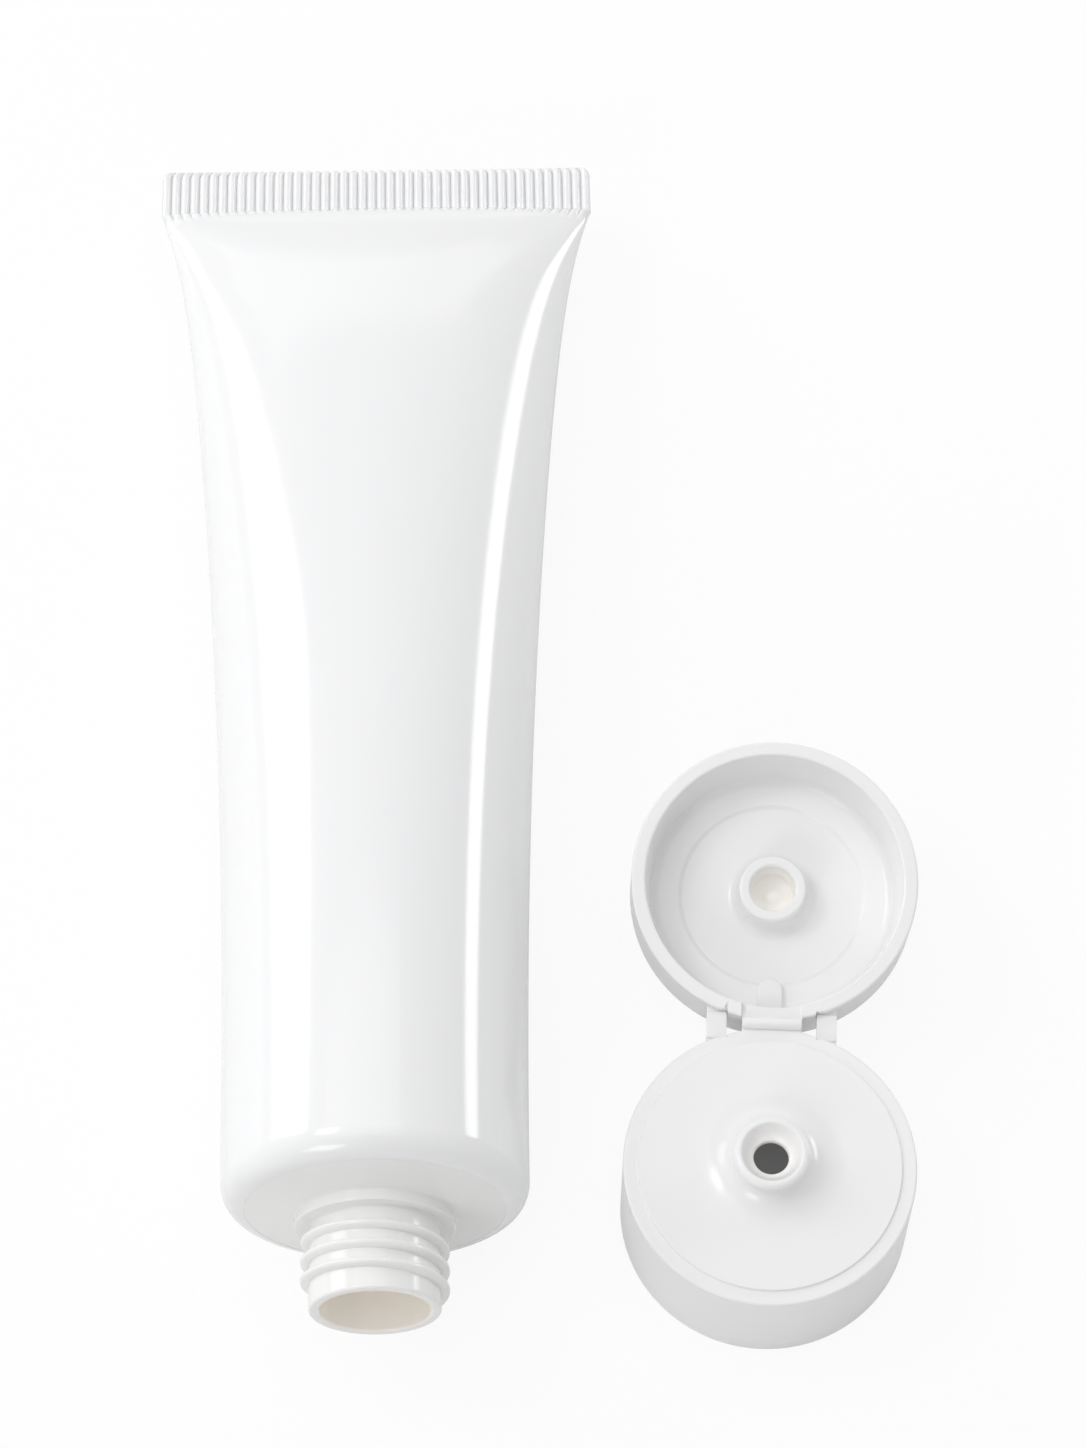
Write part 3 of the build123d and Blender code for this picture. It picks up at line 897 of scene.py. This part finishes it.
# The base: its half section turned, with the strap pockets cut, then its ribs, thread and seats.
def makeBase():
    b = base
    outline = baseOutline()
    angles = anglesWith(b["columns"], pocketAngles)
    points = turnedPoints(outline, angles)
    isOpen = (outline[:, 1] > pocketFoot) & (outline[:, 0] > b["rimInner"])
    points = withStrapPockets(points, np.abs(angles - quarterTurn), isOpen[:, None])
    # painted glow down the crater and orifice, for light through the wall, stronger deeper in
    deep = np.clip((b["crest"] - outline[:, 1]) / b["glowDepth"], 0, 1)
    paintedGlow = np.where(outline[:, 0] < b["craterRadius"], deep, 0)[:, None] * np.ones(len(angles))
    capPiece("baseMoulding", "cap", [inCap(points)], "cap_base", wrapRows=True, fields={"paintedGlow": paintedGlow})

    half = b["stiffenerThickness"] / 2
    low = (b["socketRadius"] + b["stiffenerSunk"], -half, b["deckUnder"] - b["stiffenerDepth"])
    high = (capRadius - b["stiffenerShort"], half, b["deckUnder"] + b["stiffenerSunk"])
    rib = roundedBlock(low, high, b["stiffenerRound"])
    ribs = []
    for i in range(b["stiffeners"]):
        c, s = [f((i + 0.5) * tau / b["stiffeners"]) for f in (math.cos, math.sin)]
        ribs.append(inCap(rib @ np.array([[c, s, 0], [-s, c, 0], [0, 0, 1]])))
    capPiece("baseStiffeners", "cap", ribs, closed=True)

    screw = screwPoints(socketScrew, b["socketRadius"], True)
    capPiece("socketScrew", "cap", [inCap(screw)], closed=True, flip=True)

    ears = [inCap(block) for block in earBlocks(strapUp - hinge["earDrop"], strapUp)]
    halfLand = hinge["beadLength"] / 2
    low = (-halfLand, b["rimInner"], b["height"] - hinge["beadLand"])
    high = (halfLand, capRadius + hinge["landProud"], b["height"] - hinge["landDrop"])
    land = inCap(roundedBlock(low, high, hinge["edge"]))
    capPiece("hingeSeats", "cap", ears + [land], closed=True)


makeBase()
print("base made")


# the cap's lid, built shut and turned open

lid = {
    "rim": 18.5,
    "floor": 27.5,
    "top": 28.8,
    "topRound": 1.2,
    "rimInner": 17.35,
    "floorRadius": 16.35,
    "corner": 1.4,
    "ringRadius": 12.2,
    "ringStep": 0.3,
    "ringSlope": 0.5,
    "ringRound": 0.4,
    "notchReach": 2.0,  # how far in from the floor's edge the hinge's notch cuts
    "stopperRadius": 4.55,
    "stopperBore": 3.05,
    "stopperEnd": 23.0,
    "stopperRound": 0.4,
    "boreRound": 0.35,
    "collarRadius": 6.5,
    "collarHeight": 2.2,
    "buttonRadius": 1.3,
    "buttonHeight": 0.5,
    "tongueWidth": 3.4,
    "tongueTip": 11.65,
    "tongueHeight": 1.0,
    "tongueRound": 0.3,
    "tongueSunk": 0.4,  # how deep it stands in the wall
    "tongueFoot": 0.3,  # and in the floor
    "edgeRound": 0.3,
    "poleRadius": 0.05,  # of the rings that the fans close
    "poleShare": 0.02,
    "glowEdge": 0.1,
    "glowDepth": 5.0,
    "columns": 288,
    "buttonRows": 10,
    "collarRows": 16,
    "roundRows": 8,
    "tongueColumns": 24,
    "tongueRows": 6,
}


# Half section of the shut lid, from the button's middle out over the floor, down to the rim, up
# the outside and back to the middle of the top.
def lidOutline():
    q = lid
    ball = (q["buttonRadius"] ** 2 + q["buttonHeight"] ** 2) / (2 * q["buttonHeight"])
    lean = np.linspace(q["poleShare"], 1, q["buttonRows"]) * math.asin(q["buttonRadius"] / ball)
    button = np.stack([ball * np.sin(lean),
                       q["floor"] - q["buttonHeight"] + ball * (1 - np.cos(lean))], axis=1)
    collarFoot = q["floor"] - q["collarHeight"]
    stopper = roundedOutline([
        (q["buttonRadius"], q["floor"], 0),
        (q["stopperBore"], q["floor"], q["boreRound"]),
        (q["stopperBore"], q["stopperEnd"], q["stopperRound"]),
        (q["stopperRadius"], q["stopperEnd"], q["stopperRound"]),
        (q["stopperRadius"], collarFoot, 0),
    ], closed=False)[1:]
    collar = bezier([(q["stopperRadius"], collarFoot), (q["stopperRadius"], q["floor"]),
                     (q["collarRadius"], q["floor"])], q["collarRows"])[1:]
    ringFloor = q["floor"] - q["ringStep"]
    shell = roundedOutline([
        (q["collarRadius"], q["floor"], 0),
        (q["ringRadius"], q["floor"], q["ringRound"]),
        (q["ringRadius"] + q["ringSlope"], ringFloor, q["ringRound"]),
        (q["floorRadius"], ringFloor, q["corner"]),
        (q["rimInner"], q["rim"], q["edgeRound"]),
        (capRadius, q["rim"], q["edgeRound"]),
        (capRadius, pocketTop - cutStep, 0),
        (capRadius, pocketTop + cutStep, 0),
        (capRadius, q["top"], q["topRound"]),
        (q["poleRadius"], q["top"], 0),
    ], closed=False, steps=q["roundRows"])[1:]
    return np.vstack([button, stopper, collar, shell])


# The angles of the lid's columns in each row, squeezed so that the notch's sides stay parallel:
# in the notch by the ratio of its half angles, and outside it by the ratio of what is left.
def lidAngles(outline, angles):
    near = np.maximum(outline[:, 0], lid["floorRadius"] - lid["corner"])[:, None]
    there = np.arcsin(notchHalf / near)
    away = (angles - quarterTurn + math.pi) % tau - math.pi
    inNotch = np.abs(away) < notchAngle
    inside = away * there / notchAngle
    squeeze = (math.pi - there) / (math.pi - notchAngle)
    outside = np.sign(away) * (there + (np.abs(away) - notchAngle) * squeeze)
    return np.where(inNotch, inside, outside) + quarterTurn, inNotch


# The tongue on the lid's floor: a bar with one round end, its face rounded over at the edge.
def tonguePoints():
    q = lid
    half = q["tongueWidth"] / 2
    turn = np.linspace(0, math.pi, q["tongueColumns"])
    start = q["tongueTip"] + half
    wall = q["rimInner"] + q["tongueSunk"]
    x = np.concatenate([[half], half * np.cos(turn), [-half]])
    y = np.concatenate([[wall], start - half * np.sin(turn), [wall]])
    lift = np.linspace(0, quarterTurn, q["tongueRows"])
    inset = np.concatenate([q["tongueRound"] * (1 - np.sin(lift)), [0.0]])[:, None]
    face = q["floor"] - q["ringStep"] - q["tongueHeight"]
    up = np.concatenate([face + q["tongueRound"] * (1 - np.cos(lift)),
                         [q["floor"] + q["tongueFoot"]]])[:, None]
    keep = (half - inset) / half
    return np.stack([x * keep, start + (y - start) * np.where(y > start, 1, keep),
                     up + np.zeros_like(x)], axis=2)


# The lid: its half section turned, with notch and pockets cut, then its tongue, ears and lip.
def makeLid():
    q = lid
    outline = lidOutline()
    even = anglesWith(q["columns"], [notchAngle, *pocketAngles])
    angles, inNotch = lidAngles(outline, even)
    points = turnedPoints(outline, angles)
    notchTop = hingeUp + hinge["beadRadius"] + 2 * hinge["beadGap"]
    isWall = (outline[:, 0] > q["floorRadius"] - q["notchReach"])[:, None]
    raised = np.maximum(points[..., 2], notchTop)
    points[..., 2] = np.where(inNotch & isWall, raised, points[..., 2])
    isOpen = (outline[:, 1] < pocketTop) & (outline[:, 0] > q["rimInner"])
    points = withStrapPockets(points, np.abs(even - quarterTurn), isOpen[:, None])
    # painted glow in the stopper's bore, for light through the wall, stronger deeper in
    deep = np.clip((outline[:, 1] - q["stopperEnd"]) / q["glowDepth"], 0, 1)
    isBore = (outline[:, 0] < q["stopperBore"] + q["glowEdge"]) & (outline[:, 1] < q["top"])
    paintedGlow = np.where(isBore, deep, 0)[:, None] * np.ones(len(even))
    capPiece("lidMoulding", "lid", [inLid(points)], "cap_lid", closed=True, fields={"paintedGlow": paintedGlow})
    capPiece("lidTongue", "lid", [inLid(tonguePoints())], closed=True, flip=True)

    ears = [inLid(block) for block in earBlocks(earTop, earTop + hinge["earDrop"])]
    capPiece("lidEars", "lid", ears, closed=True)

    inner = hinge["beadRadius"] + hinge["beadGap"]
    lean = np.radians(np.linspace(hinge["lipStart"], hinge["lipEnd"], hinge["lipColumns"]))
    arc = np.stack([np.cos(lean), np.sin(lean)], axis=1)
    section = np.vstack([arc * inner, arc[::-1] * (inner + hinge["lipThickness"])])
    bar = roundedBar(section + [hingeBack, hingeUp], hinge["beadLength"] / 2, hinge["lipBevel"])
    capPiece("lidLip", "lid", [inLid(bar)], closed=True, flip=True)


makeLid()
print("lid made")


# the hinge's bead and straps

# A bar's outline, upright about its middle: a half circle at the top and the same below.
def capsuleOutline(halfLong, halfThick, steps=8):
    t = np.linspace(0, math.pi, steps)
    top = np.stack([halfThick * np.cos(t), halfLong - halfThick + halfThick * np.sin(t)], axis=1)
    return np.vstack([top, -top])


# The bead is a round bar on the base, and each strap a flat bar with round ends.
def makeHinge():
    t = evenAngles(hinge["beadColumns"])
    circle = np.stack([np.cos(t), np.sin(t)], axis=1) * hinge["beadRadius"] + [hingeBack, hingeUp]
    bead = roundedBar(circle, hinge["beadLength"] / 2, hinge["beadBevel"])
    capPiece("hingeBead", "cap", [inCap(bead)], closed=True)
    halfLong = hingeUp - strapUp + hinge["strapThickness"] / 2
    upright = capsuleOutline(halfLong, hinge["strapThickness"] / 2) + [strapBack, hingeUp]
    bar = roundedBar(upright, hinge["strapWidth"] / 2, hinge["edge"])
    for across, word in zip(strapSides(), ("Left", "Right")):
        capPiece("hingeStrap" + word, "straps", [inStrap(bar + [across, 0, 0])],
                 "hinge_strap_" + word.lower(), closed=True)


makeHinge()
print("hinge made")


# floor, light and camera

studio = {
    "floorHalf": 3.0,
    "floorColour": (0.88, 0.88, 0.88),
    "seenColour": (0.97, 0.97, 0.97),
    "glowShare": 0.88,  # how much of the floor that the camera sees is plain white
    "mirrorShare": 0.12,  # the same for what the gloss of the plastic sees
    "shadeDiscRadius": 12.0,  # within it, under the cap, a painted shadow disc: the floor has little white of its own
    "shadeDiscShare": 0.07,
    "world": 0.48,
    "lamps": {  # middle, aim, width, height, radiance
        "overheadBox": ((-0.2, 0.1, 1.1), (-0.2, 0.1, 0), 1.15, 1.0, 0.87),
        "flareBox": ((-0.59, 0.1, 0.92), (0, 0, 0), 0.32, 0.26, 5.4),
        "leftBox": ((-0.96, 0.55, 0.48), (0, 0, 0), 0.58, 0.6, 2.6),
        "sideBox": ((-0.5, -0.84, 0.5), (0, 0, 0), 0.36, 0.36, 3.5),
        "rightStrip": ((0.98, 0.58, 0.24), (0, 0, 0), 0.52, 0.22, 5.8),
        "backPanel": ((-0.185, 1.2, 0.65), (-0.185, 0, 0.65), 1.37, 0.4, 0.8),
    },
}
view = {
    "target": (0.00247, 0.00518, 0.0),
    "elevation": 63.64,
    "azimuth": 1.37,
    "roll": 0.40,
    "distance": 0.60265,
    "focalPixels": 4250.0,  # the focal length, in pixels of the photo's height
    "imageHeight": 1448.0,
    "sensor": 36.0,
    "nearest": 0.01,
    "farthest": 20.0,
}


# How far a ray sees the white backdrop: wholly for the camera and through clear things, and by
# a smaller share for the gloss, so that the object's edges still mirror its own shadow.
def backdropShare(tree):
    path = nodeAt(tree, "ShaderNodeLightPath")
    seen = nodeAt(tree, "ShaderNodeMath", operation="MAXIMUM")
    gloss = nodeAt(tree, "ShaderNodeMath", {1: studio["mirrorShare"]}, operation="MULTIPLY")
    both = nodeAt(tree, "ShaderNodeMath", operation="MAXIMUM")
    link = tree.links.new
    link(path.outputs["Is Camera Ray"], seen.inputs[0])
    link(path.outputs["Is Transmission Ray"], seen.inputs[1])
    link(path.outputs["Is Glossy Ray"], gloss.inputs[0])
    link(seen.outputs[0], both.inputs[0])
    link(gloss.outputs[0], both.inputs[1])
    return both.outputs[0]


# The floor: a plain sheet that takes the object's shadow, and partly plain white where it is seen,
# less in a painted shadow disc under the cap.
def makeFloor():
    h = studio["floorHalf"]
    mesh = bpy.data.meshes.new("floorSheet")
    mesh.from_pydata([(-h, -h, 0), (h, -h, 0), (h, h, 0), (-h, h, 0)], [], [(0, 1, 2, 3)])
    floor = addedObject("floorSheet", mesh)
    material = bpy.data.materials.new("floorPaper")
    material.use_nodes = True
    tree = material.node_tree
    tree.nodes.clear()
    out = nodeAt(tree, "ShaderNodeOutputMaterial")
    plain = nodeAt(tree, "ShaderNodeBsdfDiffuse", {"Color": (*studio["floorColour"], 1)})
    paper = nodeAt(tree, "ShaderNodeBsdfDiffuse", {"Color": (*studio["seenColour"], 1)})
    glow = nodeAt(tree, "ShaderNodeEmission")
    place = nodeAt(tree, "ShaderNodeTexCoord")
    away = nodeAt(tree, "ShaderNodeVectorMath", {1: capOrigin}, operation="DISTANCE")
    # painted shadow: the floor's white glow falls away in a disc under the cap, where its shade lies
    clear = nodeAt(tree, "ShaderNodeMapRange",
                   {"From Min": studio["shadeDiscRadius"] * mm, "From Max": capRadius * mm,
                    "To Min": studio["shadeDiscShare"], "To Max": studio["glowShare"]})
    seen = nodeAt(tree, "ShaderNodeMixShader")
    mix = nodeAt(tree, "ShaderNodeMixShader")
    link = tree.links.new
    link(place.outputs["Object"], away.inputs[0])
    link(away.outputs["Value"], clear.inputs["Value"])
    link(clear.outputs["Result"], seen.inputs[0])
    link(paper.outputs[0], seen.inputs[1])
    link(glow.outputs[0], seen.inputs[2])
    link(backdropShare(tree), mix.inputs[0])
    link(plain.outputs[0], mix.inputs[1])
    link(seen.outputs[0], mix.inputs[2])
    link(mix.outputs[0], out.inputs["Surface"])
    floor.data.materials.append(material)


# A soft box: its power is its radiance times pi times its area.
def softBox(name, place, aim, wide, high, radiance):
    lamp = bpy.data.lights.new(name, "AREA")
    lamp.shape = "RECTANGLE"
    lamp.size = wide
    lamp.size_y = high
    lamp.energy = radiance * math.pi * wide * high
    holder = addedObject(name, lamp)
    holder.location = place
    toward = Vector(aim) - Vector(place)
    holder.rotation_euler = toward.to_track_quat("-Z", "Y").to_euler()
    holder.visible_camera = False


def makeLight():
    world = bpy.data.worlds.new("studioWorld")
    world.use_nodes = True
    tree = world.node_tree
    sky = tree.nodes["Background"]
    sky.inputs["Color"].default_value = (1, 1, 1, 1)
    level = nodeAt(tree, "ShaderNodeMapRange", {"To Min": studio["world"], "To Max": 1.0})
    tree.links.new(backdropShare(tree), level.inputs["Value"])
    tree.links.new(level.outputs["Result"], sky.inputs["Strength"])
    bpy.context.scene.world = world
    for name, lamp in studio["lamps"].items():
        softBox(name, *lamp)


# The camera stands off from the target along its line of sight, rolled about that line.
def makeCamera():
    e = math.radians(view["elevation"])
    a = math.radians(view["azimuth"])
    r = math.radians(view["roll"])
    forward = Vector((math.sin(a) * math.cos(e), math.cos(a) * math.cos(e), -math.sin(e)))
    level = Vector((math.cos(a), -math.sin(a), 0))
    upward = level.cross(forward)
    right = level * math.cos(r) + upward * math.sin(r)
    top = upward * math.cos(r) - level * math.sin(r)
    data = bpy.data.cameras.new("photoCamera")
    data.sensor_fit = "VERTICAL"
    data.sensor_height = view["sensor"]
    data.lens = view["focalPixels"] / view["imageHeight"] * view["sensor"]
    data.clip_start = view["nearest"]
    data.clip_end = view["farthest"]
    camera = addedObject("photoCamera", data)
    place = Vector(view["target"]) - forward * view["distance"]
    turn = Matrix((right, top, -forward)).transposed().to_4x4()
    camera.matrix_world = Matrix.Translation(place) @ turn
    bpy.context.scene.camera = camera


makeFloor()
makeLight()
makeCamera()
bpy.context.scene.view_settings.view_transform = "Standard"
print("studio made")
